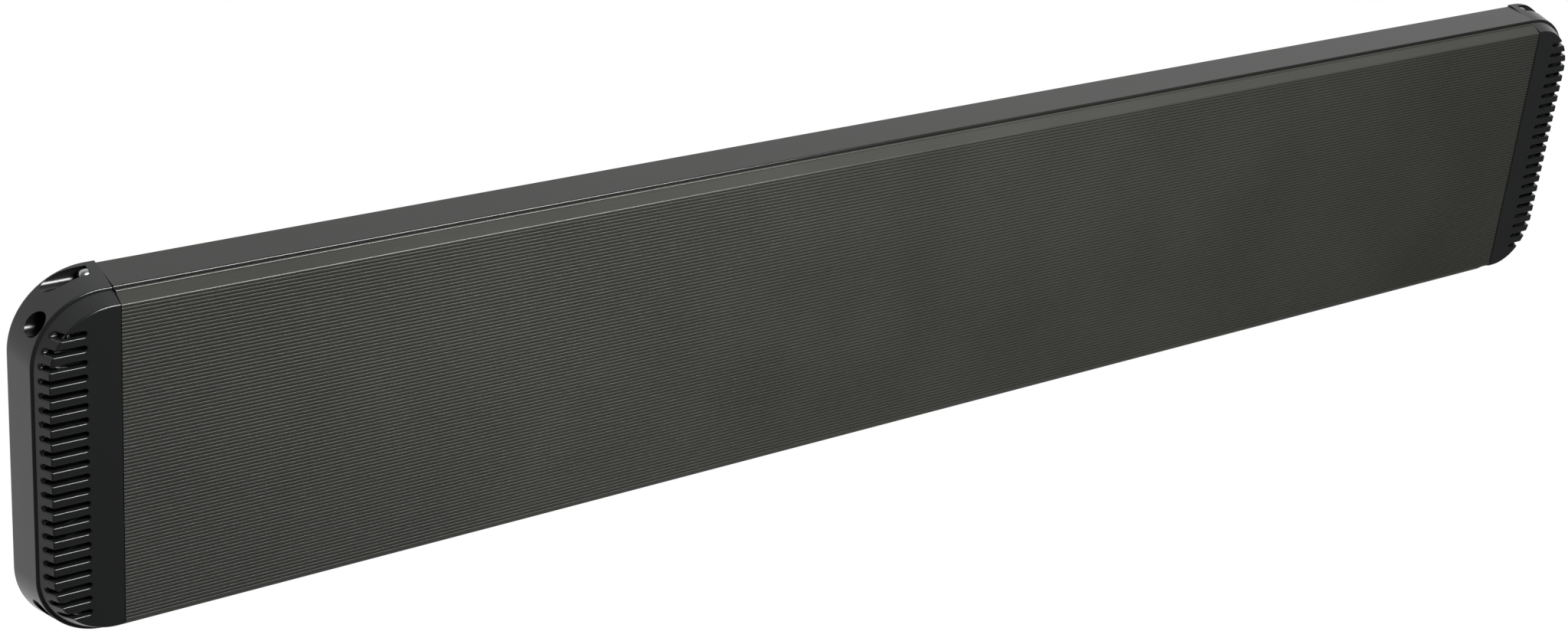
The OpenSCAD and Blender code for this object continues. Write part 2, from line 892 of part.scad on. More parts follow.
// The curved slot that the locking bolt runs in
module lock_slot() {
    half = lock_radius + lock_clearance;
    reach = 60;
    translate([pivot_y, 0]) {
        intersection() {
            difference() {
                circle(lock_circle + half);
                circle(lock_circle - half);
            }
            polygon([[0, 0], [-reach * sin(tilt_limit), reach * cos(tilt_limit)],
                     [reach * sin(tilt_limit), reach * cos(tilt_limit)]]);
        }
        for (angle = [-tilt_limit, tilt_limit])
            translate([lock_circle * sin(angle), lock_circle * cos(angle)]) circle(half);
    }
}

// The right-hand wall bracket: a plate with two screw holes and an ear with the pivot hole and slot
module wall_bracket() {
    difference() {
        union() {
            translate([bracket_offset, -ear_wall, -36]) cube([40, ear_wall, 72]);
            from_x(bracket_offset, ear_wall) difference() {
                union() {
                    translate([pivot_y, -ear_radius]) square([pivot_out, 2 * ear_radius]);
                    translate([pivot_y, 0]) circle(ear_radius, $fn = 96);
                }
                lock_slot();
                translate([pivot_y, 0]) circle(pivot_radius + pivot_clearance);
            }
        }
        for (side = [-1, 1])
            bar_y(bracket_offset + 22, -ear_wall - 1, ear_wall + 2, side * wall_screw_spacing / 2,
                  wall_hole_radius);
    }
}

module wall_bracket_left() {
    color(dark_steel) mirror([1, 0, 0]) wall_bracket();
}

module wall_bracket_right() {
    color(dark_steel) wall_bracket();
}

module pivot_bolts() {
    color(steel) both_sides() {
        bar_x(bracket_offset - 9, 9 + ear_wall + ear_gap, pivot_y, 0, pivot_radius);
        bar_x(bracket_offset + ear_wall + ear_gap, 4, pivot_y, 0, 5.5, 6);
    }
}

module pivot_nuts() {
    color(steel) both_sides() difference() {
        bar_x(bracket_offset - ear_gap - ear_wall - 4.4, 4.4, pivot_y, 0, 5.5, 6);
        bar_x(bracket_offset - 12, 12, pivot_y, 0, pivot_radius);
    }
}

module lock_bolts() {
    color(steel) both_sides() {
        bar_x(bracket_offset - ear_gap - ear_wall, 2 * ear_wall + 2 * ear_gap + 7, pivot_y, lock_circle,
              lock_radius);
        bar_x(bracket_offset - ear_gap - ear_wall - 3, 3, pivot_y, lock_circle, 4.5, 6);
    }
}

// A nut with a knurled grip, worked by hand
module lock_nuts() {
    color(dark_steel) both_sides() difference() {
        bar_x(bracket_offset + ear_wall + ear_gap, 6, pivot_y, lock_circle, 5.2);
        bar_x(bracket_offset, 20, pivot_y, lock_circle, lock_radius);
    }
}

emitter_panel();
rear_housing();
end_cap_left();
end_cap_right();
end_seal_left();
end_seal_right();
end_plate_left();
end_plate_right();
corner_screws_left();
corner_screws_right();
side_screws_left();
side_screws_right();
heating_element_upper();
heating_element_lower();
element_bushes();
element_terminals();
terminal_nuts();
element_clamps();
clamp_screws();
reflector_sheet();
insulation_blanket();
terminal_plate();
terminal_block();
terminal_screws();
earth_stud();
earth_nut();
thermal_cutout();
cutout_screws();
lead_live();
lead_neutral();
lead_earth();
lead_link_upper();
lead_link_lower();
cable_gland();
gland_seal();
gland_cap();
gland_locknut();
mounting_rail();
rail_rivets();
rail_nuts();
rail_bolts();
swivel_bracket_left();
swivel_bracket_right();
wall_bracket_left();
wall_bracket_right();
pivot_bolts();
pivot_nuts();
lock_bolts();
lock_nuts();
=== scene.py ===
"""Looks of a wall-hung radiant strip heater: a ribbed emitter between two vented end caps."""
import json
import logging
import math
from dataclasses import dataclass, field
from enum import Enum
from typing import Callable, Sequence

import bmesh
import bpy
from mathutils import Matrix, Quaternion, Vector


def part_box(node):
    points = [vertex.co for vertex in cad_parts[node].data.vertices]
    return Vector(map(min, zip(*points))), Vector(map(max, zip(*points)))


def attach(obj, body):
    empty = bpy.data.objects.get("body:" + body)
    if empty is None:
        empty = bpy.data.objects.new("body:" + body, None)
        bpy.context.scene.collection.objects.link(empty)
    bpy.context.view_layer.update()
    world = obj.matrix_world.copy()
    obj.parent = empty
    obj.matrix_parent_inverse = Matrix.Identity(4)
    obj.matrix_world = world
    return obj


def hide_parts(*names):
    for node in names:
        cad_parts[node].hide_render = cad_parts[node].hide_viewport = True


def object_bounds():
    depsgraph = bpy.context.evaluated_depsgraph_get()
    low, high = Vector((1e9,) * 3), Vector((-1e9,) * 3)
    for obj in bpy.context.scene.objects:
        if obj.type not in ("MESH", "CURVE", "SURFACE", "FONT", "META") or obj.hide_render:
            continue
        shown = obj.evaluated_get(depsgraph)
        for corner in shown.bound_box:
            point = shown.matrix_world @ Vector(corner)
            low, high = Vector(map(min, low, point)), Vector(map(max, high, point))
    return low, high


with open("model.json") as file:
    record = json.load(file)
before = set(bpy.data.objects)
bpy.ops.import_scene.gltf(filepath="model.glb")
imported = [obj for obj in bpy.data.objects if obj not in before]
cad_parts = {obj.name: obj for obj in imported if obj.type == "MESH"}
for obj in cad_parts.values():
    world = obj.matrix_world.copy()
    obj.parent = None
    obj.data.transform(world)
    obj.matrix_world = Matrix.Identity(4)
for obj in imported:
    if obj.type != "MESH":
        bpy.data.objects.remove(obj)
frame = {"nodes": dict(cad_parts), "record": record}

CAD_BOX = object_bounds()
MM = 0.001
HEATER_BODY = "heater"
WALL_BODY = "wall_brackets"
LOG = logging.getLogger("strip_heater")
X_AXIS = Vector((1, 0, 0))
Y_AXIS = Vector((0, 1, 0))
QUARTER_TURN = math.pi / 2
BORE_SIDES = 56

Point = tuple[float, float, float]
Section = list[tuple[float, float]]


class Side(Enum):
    """Which end of the heater a piece is on."""

    LEFT = -1
    RIGHT = 1


# ---------------------------------------------------------------- meshes


class Sketch:
    """A mesh drawn in millimetres and handed over in metres."""

    def __init__(self) -> None:
        """Starts an empty mesh."""
        self.bm = bmesh.new()

    def loop(self, points: Sequence[Point]) -> list[bmesh.types.BMVert]:
        """Adds vertices and returns them in order."""
        return [self.bm.verts.new(Vector(p)) for p in points]

    def face(self, verts: Sequence[bmesh.types.BMVert]) -> None:
        """Adds one face.

        Args:
            verts: The corners in order. A corner that is repeated is used once.
        """
        kept = [v for i, v in enumerate(verts) if v is not verts[i - 1]]
        if len(set(kept)) > 2:
            self.bm.faces.new(kept)

    def skin(self, a: Sequence[bmesh.types.BMVert], b: Sequence[bmesh.types.BMVert]) -> None:
        """Joins two closed loops with a band of faces.

        Args:
            a: The first loop.
            b: The second loop, with as many vertices in the same order.
        """
        for i in range(len(a)):
            j = (i + 1) % len(a)
            self.face([a[i], a[j], b[j], b[i]])

    def loft(self, rings: Sequence[Sequence[Point]]) -> None:
        """Adds a closed solid with flat ends.

        Args:
            rings: Closed rings of the same length, from one end to the other.
        """
        loops = [self.loop(ring) for ring in rings]
        for a, b in zip(loops, loops[1:]):
            self.skin(a, b)
        self.face(list(reversed(loops[0])))
        self.face(loops[-1])

    def lathe(self, start: Point, profile: Section, axis: Vector, sides: int = 40) -> None:
        """Adds a turned solid.

        Args:
            start: Where the profile's zero lies, on the axis.
            profile: Pairs of distance along the axis and radius, from one end to the other.
            axis: Direction of the axis.
            sides: Number of facets round the axis.
        """
        along = axis.normalized()
        across = along.orthogonal().normalized()
        upright = along.cross(across)
        rings = []
        for distance, radius in profile:
            middle = Vector(start) + along * distance
            rings.append([
                tuple(middle + radius * (math.cos(t) * across + math.sin(t) * upright))
                for t in (2 * math.pi * k / sides for k in range(sides))
            ])
        self.loft(rings)

    def extrude(self, section: Section, start: float, end: float) -> None:
        """Runs a section of Y and Z along X, with flat ends."""
        self.loft([[(x, y, z) for y, z in section] for x in (start, end)])

    def to_object(self, name: str, mirrored: bool = False) -> bpy.types.Object:
        """Makes the object, in metres.

        Args:
            name: The piece's name.
            mirrored: True for the mirror image in X.

        Returns:
            The new object, in the scene.
        """
        for vert in self.bm.verts:
            vert.co *= MM
            if mirrored:
                vert.co.x = -vert.co.x
        bmesh.ops.recalc_face_normals(self.bm, faces=self.bm.faces)
        mesh = bpy.data.meshes.new(name)
        self.bm.to_mesh(mesh)
        self.bm.free()
        obj = bpy.data.objects.new(name, mesh)
        bpy.context.scene.collection.objects.link(obj)
        return obj


def carve(target: bpy.types.Object, tool: bpy.types.Object) -> None:
    """Cuts one solid out of another and deletes the cutter.

    Args:
        target: The solid that is cut.
        tool: The cutter.
    """
    step = target.modifiers.new("carve", "BOOLEAN")
    step.operation = "DIFFERENCE"
    step.solver = "EXACT"
    step.object = tool
    shape = target.evaluated_get(bpy.context.evaluated_depsgraph_get())
    made = bpy.data.meshes.new_from_object(shape)
    target.modifiers.remove(step)
    old, target.data = target.data, made
    bpy.data.meshes.remove(old)
    bpy.data.objects.remove(tool)


def soften(obj: bpy.types.Object, angle: float = 38.0) -> None:
    """Smooths the shading across shallow edges and keeps flat faces flat.

    Args:
        obj: The piece.
        angle: Edges that turn by more degrees than this stay sharp.
    """
    large_face_pull = 60
    obj.data.shade_smooth()
    obj.data.set_sharp_from_angle(angle=math.radians(angle))
    step = obj.modifiers.new("even_normals", "WEIGHTED_NORMAL")
    step.keep_sharp = True
    step.weight = large_face_pull


def fillet(outline: Section, radii: dict[int, float], steps: int = 4) -> Section:
    """Rounds chosen corners of a section.

    Args:
        outline: The section's corners.
        radii: Corner index to radius.
        steps: Number of facets in each round.

    Returns:
        The section with arcs in place of those corners.
    """
    made: Section = []
    for i, corner in enumerate(outline):
        if i not in radii:
            made.append(corner)
            continue
        here = Vector(corner)
        before = (Vector(outline[i - 1]) - here).normalized()
        after = (Vector(outline[(i + 1) % len(outline)]) - here).normalized()
        half = before.angle(after) / 2
        reach = radii[i] / math.tan(half)
        middle = here + (before + after).normalized() * radii[i] / math.sin(half)
        first, last = here + before * reach - middle, here + after * reach - middle
        for k in range(steps + 1):
            made.append(tuple(middle + first.slerp(last, k / steps)))
    return made


# ---------------------------------------------------------------- finishes


class Sheet:
    """A node tree being drawn, with short calls for its common nodes."""

    def __init__(self, tree: bpy.types.NodeTree) -> None:
        """Works on a tree."""
        self.tree = tree

    def add(self, kind: str, **settings: object) -> bpy.types.Node:
        """Adds a node.

        Args:
            kind: The node's type.
            **settings: Values for the node's own properties.

        Returns:
            The new node.
        """
        node = self.tree.nodes.new(kind)
        for key, value in settings.items():
            setattr(node, key, value)
        return node

    def link(self, source: bpy.types.NodeSocket, target: bpy.types.NodeSocket) -> None:
        """Joins two sockets."""
        self.tree.links.new(source, target)

    def feed(self, target: bpy.types.NodeSocket, value: object) -> None:
        """Gives a socket its value.

        Args:
            target: The socket.
            value: A plain value, or another socket's output.
        """
        if isinstance(value, bpy.types.NodeSocket):
            self.link(value, target)
        else:
            target.default_value = value

    def sums(self, how: str, a: object, b: object) -> bpy.types.NodeSocket:
        """Adds a Math node.

        Args:
            how: The operation.
            a: First value or socket.
            b: Second value or socket.

        Returns:
            The node's output.
        """
        node = self.add("ShaderNodeMath", operation=how)
        self.feed(node.inputs[0], a)
        self.feed(node.inputs[1], b)
        return node.outputs[0]

    def spread(self, value: object, low: object, high: object,
               start: object = 0.0, end: object = 1.0) -> bpy.types.NodeSocket:
        """Maps start..end onto low..high, and holds it there.

        Args:
            value: The value or socket to map.
            low: What start becomes.
            high: What end becomes.
            start: Where the mapped range starts.
            end: Where the mapped range ends.

        Returns:
            The mapped value.
        """
        node = self.add("ShaderNodeMapRange")
        for name, what in (("Value", value), ("From Min", start), ("From Max", end),
                           ("To Min", low), ("To Max", high)):
            self.feed(node.inputs[name], what)
        return node.outputs["Result"]

    def noise(self, place: bpy.types.NodeSocket, scale: object, detail: float) -> bpy.types.NodeSocket:
        """Adds a noise texture.

        Args:
            place: The coordinates.
            scale: Its scale, as a value or a socket.
            detail: Number of octaves.

        Returns:
            The noise's value.
        """
        node = self.add("ShaderNodeTexNoise")
        self.link(place, node.inputs["Vector"])
        self.feed(node.inputs["Scale"], scale)
        node.inputs["Detail"].default_value = detail
        return node.outputs["Fac"]

    def stretched(self, factors: Point) -> bpy.types.NodeSocket:
        """Object coordinates, scaled along each axis.

        Args:
            factors: The scale along X, Y and Z.

        Returns:
            The scaled coordinates.
        """
        place = self.add("ShaderNodeTexCoord")
        node = self.add("ShaderNodeMapping")
        self.link(place.outputs["Object"], node.inputs["Vector"])
        node.inputs["Scale"].default_value = factors
        return node.outputs["Vector"]


@dataclass
class EffectLibrary:
    """The shared effects, each one a node group that is built once."""

    groups: dict[str, bpy.types.NodeTree] = field(default_factory=dict)

    def group(self, name: str, inputs: dict[str, float], outputs: Sequence[str],
              draw: Callable[[Sheet, bpy.types.Node, bpy.types.Node], None]) -> bpy.types.NodeTree:
        """Returns a group, building it the first time.

        Args:
            name: The effect's name.
            inputs: Input names and their usual values.
            outputs: Output names.
            draw: Draws the inside, given the sheet and the group's input and output nodes.

        Returns:
            The node group.
        """
        if name not in self.groups:
            tree = bpy.data.node_groups.new(name, "ShaderNodeTree")
            for key, value in inputs.items():
                socket = tree.interface.new_socket(key, in_out="INPUT", socket_type="NodeSocketFloat")
                socket.default_value = value
            for key in outputs:
                tree.interface.new_socket(key, in_out="OUTPUT", socket_type="NodeSocketFloat")
            sheet = Sheet(tree)
            draw(sheet, sheet.add("NodeGroupInput"), sheet.add("NodeGroupOutput"))
            self.groups[name] = tree
        return self.groups[name]

    def coat_grain(self) -> bpy.types.NodeTree:
        """Fine pebbling of a sprayed or powder coat, with slow cloudiness over it.

        Returns:
            The node group.
        """
        cloud_scale = 14.0
        fine_share = 0.45

        def draw(sheet: Sheet, given: bpy.types.Node, made: bpy.types.Node) -> None:
            """Draws the group's inside.

            Args:
                sheet: The group's tree.
                given: Its input node.
                made: Its output node.
            """
            place = sheet.stretched((1, 1, 1))
            fine = sheet.noise(place, given.outputs["Scale"], 2.0)
            slow = sheet.noise(place, cloud_scale, 3.0)
            sheet.link(fine, made.inputs["Height"])
            both = sheet.sums("ADD", sheet.sums("MULTIPLY", fine, fine_share),
                              sheet.sums("MULTIPLY", slow, 1 - fine_share))
            sheet.link(sheet.spread(both, 0.0, 1.0, 0.3, 0.7), made.inputs["Mask"])

        return self.group("coat_grain", {"Scale": 2600.0}, ("Mask", "Height"), draw)

    def draw_lines(self) -> bpy.types.NodeTree:
        """Faint lines along X that an extrusion die leaves.

        Returns:
            The node group.
        """
        stretch_along_x = 0.012

        def draw(sheet: Sheet, given: bpy.types.Node, made: bpy.types.Node) -> None:
            """Draws the group's inside.

            Args:
                sheet: The group's tree.
                given: Its input node.
                made: Its output node.
            """
            place = sheet.stretched((stretch_along_x, 1.0, 1.0))
            lines = sheet.noise(place, given.outputs["Scale"], 4.0)
            sheet.link(lines, made.inputs["Height"])
            sheet.link(sheet.spread(lines, 0.0, 1.0, 0.32, 0.68), made.inputs["Mask"])

        return self.group("draw_lines", {"Scale": 900.0}, ("Mask", "Height"), draw)

    def rubbed_edges(self) -> bpy.types.NodeTree:
        """Worn spots along outer edges.

        Returns:
            The node group.
        """
        spot_scale = 420.0

        def draw(sheet: Sheet, given: bpy.types.Node, made: bpy.types.Node) -> None:
            """Draws the group's inside.

            Args:
                sheet: The group's tree.
                given: Its input node.
                made: Its output node.
            """
            shape = sheet.add("ShaderNodeNewGeometry")
            edge = sheet.spread(shape.outputs["Pointiness"], 0.0, 1.0, 0.53, 0.60)
            spots = sheet.noise(sheet.stretched((1, 1, 1)), spot_scale, 5.0)
            spots = sheet.spread(spots, 0.0, 1.0, 0.45, 0.7)
            worn = sheet.sums("MULTIPLY", edge, spots)
            sheet.link(sheet.sums("MULTIPLY", worn, given.outputs["Amount"]), made.inputs["Mask"])

        return self.group("rubbed_edges", {"Amount": 0.4}, ("Mask",), draw)

    def settled_dust(self) -> bpy.types.NodeTree:
        """A thin film of dust where the surface looks up.

        Returns:
            The node group.
        """
        patch_scale = 90.0

        def draw(sheet: Sheet, given: bpy.types.Node, made: bpy.types.Node) -> None:
            """Draws the group's inside.

            Args:
                sheet: The group's tree.
                given: Its input node.
                made: Its output node.
            """
            shape = sheet.add("ShaderNodeNewGeometry")
            parts = sheet.add("ShaderNodeSeparateXYZ")
            sheet.link(shape.outputs["Normal"], parts.inputs[0])
            up = sheet.spread(parts.outputs["Z"], 0.0, 1.0, 0.5, 1.0)
            patches = sheet.noise(sheet.stretched((1, 1, 1)), patch_scale, 6.0)
            patches = sheet.spread(patches, 0.2, 1.0, 0.35, 0.7)
            film = sheet.sums("MULTIPLY", up, patches)
            sheet.link(sheet.sums("MULTIPLY", film, given.outputs["Amount"]), made.inputs["Mask"])

        return self.group("settled_dust", {"Amount": 0.05}, ("Mask",), draw)


@dataclass(frozen=True)
class Finish:
    """One finish: its colour, its gloss, and how much of each effect it shows."""

    slot: str
    colour: tuple[float, float, float]
    roughness: float
    metallic: float = 0.0
    variation: float = 0.15
    rough_spread: float = 0.08
    grain: float = 2600.0
    relief: float = 0.04
    lines: float = 0.0
    wear: float = 0.0
    wear_colour: tuple[float, float, float] = (0.35, 0.35, 0.34)
    dust: float = 0.0
    dust_colour: tuple[float, float, float] = (0.42, 0.40, 0.37)
    dust_roughness: float = 0.5
    relief_depth: float = 0.0002
    sheen: float = 0.0

    def build(self, effects: EffectLibrary) -> bpy.types.Material:
        """Makes the material.

        Args:
            effects: The shared effects.

        Returns:
            The material, named after its slot.
        """
        material = bpy.data.materials.new(self.slot)
        material.use_nodes = True
        material.node_tree.nodes.clear()
        sheet = Sheet(material.node_tree)
        shader = sheet.add("ShaderNodeBsdfPrincipled")
        sheet.link(shader.outputs[0], sheet.add("ShaderNodeOutputMaterial").inputs["Surface"])
        grain = self.place(sheet, effects.coat_grain(), Scale=self.grain)
        mask, height = grain.outputs["Mask"], grain.outputs["Height"]
        if self.lines:
            lines = self.place(sheet, effects.draw_lines())
            mask = sheet.sums("ADD", sheet.sums("MULTIPLY", mask, 1 - self.lines),
                              sheet.sums("MULTIPLY", lines.outputs["Mask"], self.lines))
            height = sheet.sums("ADD", height, sheet.sums("MULTIPLY", lines.outputs["Height"], self.lines))
        colour = self.blend(sheet, mask, self.shade(1 - self.variation), self.shade(1 + self.variation))
        roughness = sheet.spread(mask, self.roughness - self.rough_spread,
                                 self.roughness + self.rough_spread)
        if self.wear:
            worn = self.place(sheet, effects.rubbed_edges(), Amount=self.wear).outputs["Mask"]
            colour = self.blend(sheet, worn, colour, (*self.wear_colour, 1.0))
        if self.dust:
            film = self.place(sheet, effects.settled_dust(), Amount=self.dust).outputs["Mask"]
            colour = self.blend(sheet, film, colour, (*self.dust_colour, 1.0))
            roughness = sheet.sums("ADD", roughness, sheet.sums("MULTIPLY", film, self.dust_roughness))
        sheet.link(colour, shader.inputs["Base Color"])
        sheet.link(roughness, shader.inputs["Roughness"])
        bump = sheet.add("ShaderNodeBump")
        bump.inputs["Strength"].default_value = self.relief
        bump.inputs["Distance"].default_value = self.relief_depth
        sheet.link(height, bump.inputs["Height"])
        sheet.link(bump.outputs["Normal"], shader.inputs["Normal"])
        shader.inputs["Metallic"].default_value = self.metallic
        shader.inputs["Sheen Weight"].default_value = self.sheen
        return material

    def shade(self, factor: float) -> tuple[float, float, float, float]:
        """The finish's colour, lighter or darker."""
        return (*(min(1.0, c * factor) for c in self.colour), 1.0)

    @staticmethod
    def place(sheet: Sheet, tree: bpy.types.NodeTree, **values: float) -> bpy.types.Node:
        """Puts a shared effect in a material.

        Args:
            sheet: The material's tree.
            tree: The effect.
            **values: The material's own values for the effect's inputs.

        Returns:
            The effect's node.
        """
        node = sheet.add("ShaderNodeGroup", node_tree=tree)
        for key, value in values.items():
            node.inputs[key].default_value = value
        return node

    @staticmethod
    def blend(sheet: Sheet, mask: object, a: object, b: object) -> bpy.types.NodeSocket:
        """Mixes two colours.

        Args:
            sheet: The material's tree.
            mask: How much of the second colour shows, from 0 to 1.
            a: The first colour or socket.
            b: The second colour or socket.

        Returns:
            The mixed colour.
        """
        node = sheet.add("ShaderNodeMix", data_type="RGBA")
        sheet.feed(node.inputs[0], mask)
        sheet.feed(node.inputs[6], a)
        sheet.feed(node.inputs[7], b)
        return node.outputs[2]


FINISHES = (
    Finish("emitter_coat", (0.031, 0.031, 0.0275), 0.30, variation=0.12, grain=3400, relief=0.10, lines=0.15),
    Finish("housing_coat", (0.010, 0.010, 0.0092), 0.22, variation=0.10, relief=0.05, lines=0.35),
    Finish("rail_coat", (0.022, 0.022, 0.021), 0.36, variation=0.15, relief=0.10, lines=0.6),
    Finish("cap_coat", (0.0085, 0.0093, 0.0089), 0.23, variation=0.08, rough_spread=0.02, relief=0.02),
    Finish("seal_rubber", (0.012, 0.012, 0.012), 0.65, variation=0.25, relief=0.3, dust=0.08),
    Finish("plated_steel", (0.60, 0.61, 0.62), 0.34, metallic=1.0, variation=0.12, grain=900, lines=0.5),
    Finish("screw_steel", (0.42, 0.43, 0.43), 0.30, metallic=1.0, variation=0.18, grain=1500, wear=0.3,
           wear_colour=(0.7, 0.7, 0.68)),
    Finish("bolt_steel", (0.55, 0.56, 0.57), 0.28, metallic=1.0, variation=0.16, grain=1300, wear=0.3,
           wear_colour=(0.75, 0.75, 0.74)),
    Finish("element_sheath", (0.20, 0.18, 0.15), 0.42, metallic=1.0, variation=0.35, grain=300, lines=0.3),
    Finish("white_ceramic", (0.78, 0.75, 0.68), 0.72, variation=0.06, grain=1800, relief=0.2),
    Finish("reflector_aluminium", (0.84, 0.85, 0.86), 0.20, metallic=1.0, variation=0.05, lines=0.7),
    Finish("blanket_fibre", (0.84, 0.82, 0.76), 0.95, variation=0.10, grain=700, relief=0.8, sheen=0.3),
    Finish("terminal_brass", (0.72, 0.52, 0.22), 0.30, metallic=1.0, variation=0.14, grain=1100),
    Finish("black_plastic", (0.016, 0.016, 0.016), 0.48, variation=0.15, grain=1900, relief=0.25, dust=0.03),
    Finish("lead_brown", (0.13, 0.055, 0.025), 0.50, variation=0.12, grain=1500),
    Finish("lead_blue", (0.03, 0.09, 0.33), 0.50, variation=0.12, grain=1500),
    Finish("lead_green", (0.12, 0.30, 0.05), 0.50, variation=0.12, grain=1500),
    Finish("lead_black", (0.015, 0.015, 0.015), 0.50, variation=0.12, grain=1500),
    Finish("bracket_coat", (0.020, 0.020, 0.021), 0.44, variation=0.20, grain=1700, relief=0.30, dust=0.03),
)


class Workshop:
    """Holds the finishes and dresses the pieces and the CAD nodes with them."""

    def __init__(self) -> None:
        """Builds every finish."""
        effects = EffectLibrary()
        self.materials = {f.slot: f.build(effects) for f in FINISHES}
        self.slots = {row["node"]: row["material_slot"] for row in frame["record"]["subparts"]}

    def dress(self, obj: bpy.types.Object, slot: str) -> None:
        """Gives an object one finish all over.

        Args:
            obj: The object.
            slot: The finish's slot.
        """
        obj.data.materials.clear()
        obj.data.materials.append(self.materials[slot])
        for polygon in obj.data.polygons:
            polygon.material_index = 0

    def hand_over(self, obj: bpy.types.Object, nodes: Sequence[str], body: str = HEATER_BODY) -> None:
        """Finishes a piece that stands for CAD nodes, and puts it on its body.

        Args:
            obj: The piece.
            nodes: The CAD nodes that it stands for.
            body: The body that carries it.

        Raises:
            ValueError: The piece has no faces.
        """
        if not obj.data.polygons:
            raise ValueError(f"{obj.name} has no faces")
        slot = self.slots[nodes[0]]
        self.dress(obj, slot)
        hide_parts(*nodes)
        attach(obj, body)
        LOG.info("%s stands for %s", obj.name, ", ".join(nodes))

    def dress_nodes(self, crease: float = 30) -> None:
        """Dresses every CAD node.

        Args:
            crease: Edges that turn by more degrees than this stay sharp.
        """
        for name, obj in frame["nodes"].items():
            self.dress(obj, self.slots[name])
            obj.data.shade_smooth()
            obj.data.set_sharp_from_angle(angle=math.radians(crease))


# ---------------------------------------------------------------- pieces


@dataclass
class Edge:
    """How far an outline stands in from the back edge's, and its corner radius."""

    top: float
    end: float
    radius: float

    def towards(self, other: "Edge", t: float) -> "Edge":
        """The outline part of the way to another."""
        return Edge(self.top + (other.top - self.top) * t, self.end + (other.end - self.end) * t,
                    self.radius + (other.radius - self.radius) * t)


@dataclass
class Body:
    """Sizes that the pieces share, in millimetres. Places come from the CAD's boxes."""

    cap_end: float
    seam: float
    body_end: float
    front: float
    back: float
    half_height: float
    front_depth: float = 8.4
    ledge: float = 1.3
    rear_draft: float = 5.0
    front_draft: float = 3.5

    @classmethod
    def from_frame(cls) -> "Body":
        """Reads the places from the CAD nodes."""
        low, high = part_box("end_cap_right")
        return cls(high.x / MM, low.x / MM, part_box("rear_housing")[1].x / MM, low.y / MM, high.y / MM,
                   high.z / MM)

    @property
    def depth(self) -> float:
        """Depth of the body behind its face."""
        return self.back - self.front

    def rear_top(self, depth: float) -> float:
        """Half height of the rear tier at a depth."""
        return self.half_height - self.rear_draft * (self.depth - depth) / (self.depth - self.front_depth)

    def front_top(self, depth: float) -> float:
        """Half height of the front tier at a depth."""
        return (self.half_height - self.rear_draft - self.ledge
                - self.front_draft * (self.front_depth - depth) / self.front_depth)


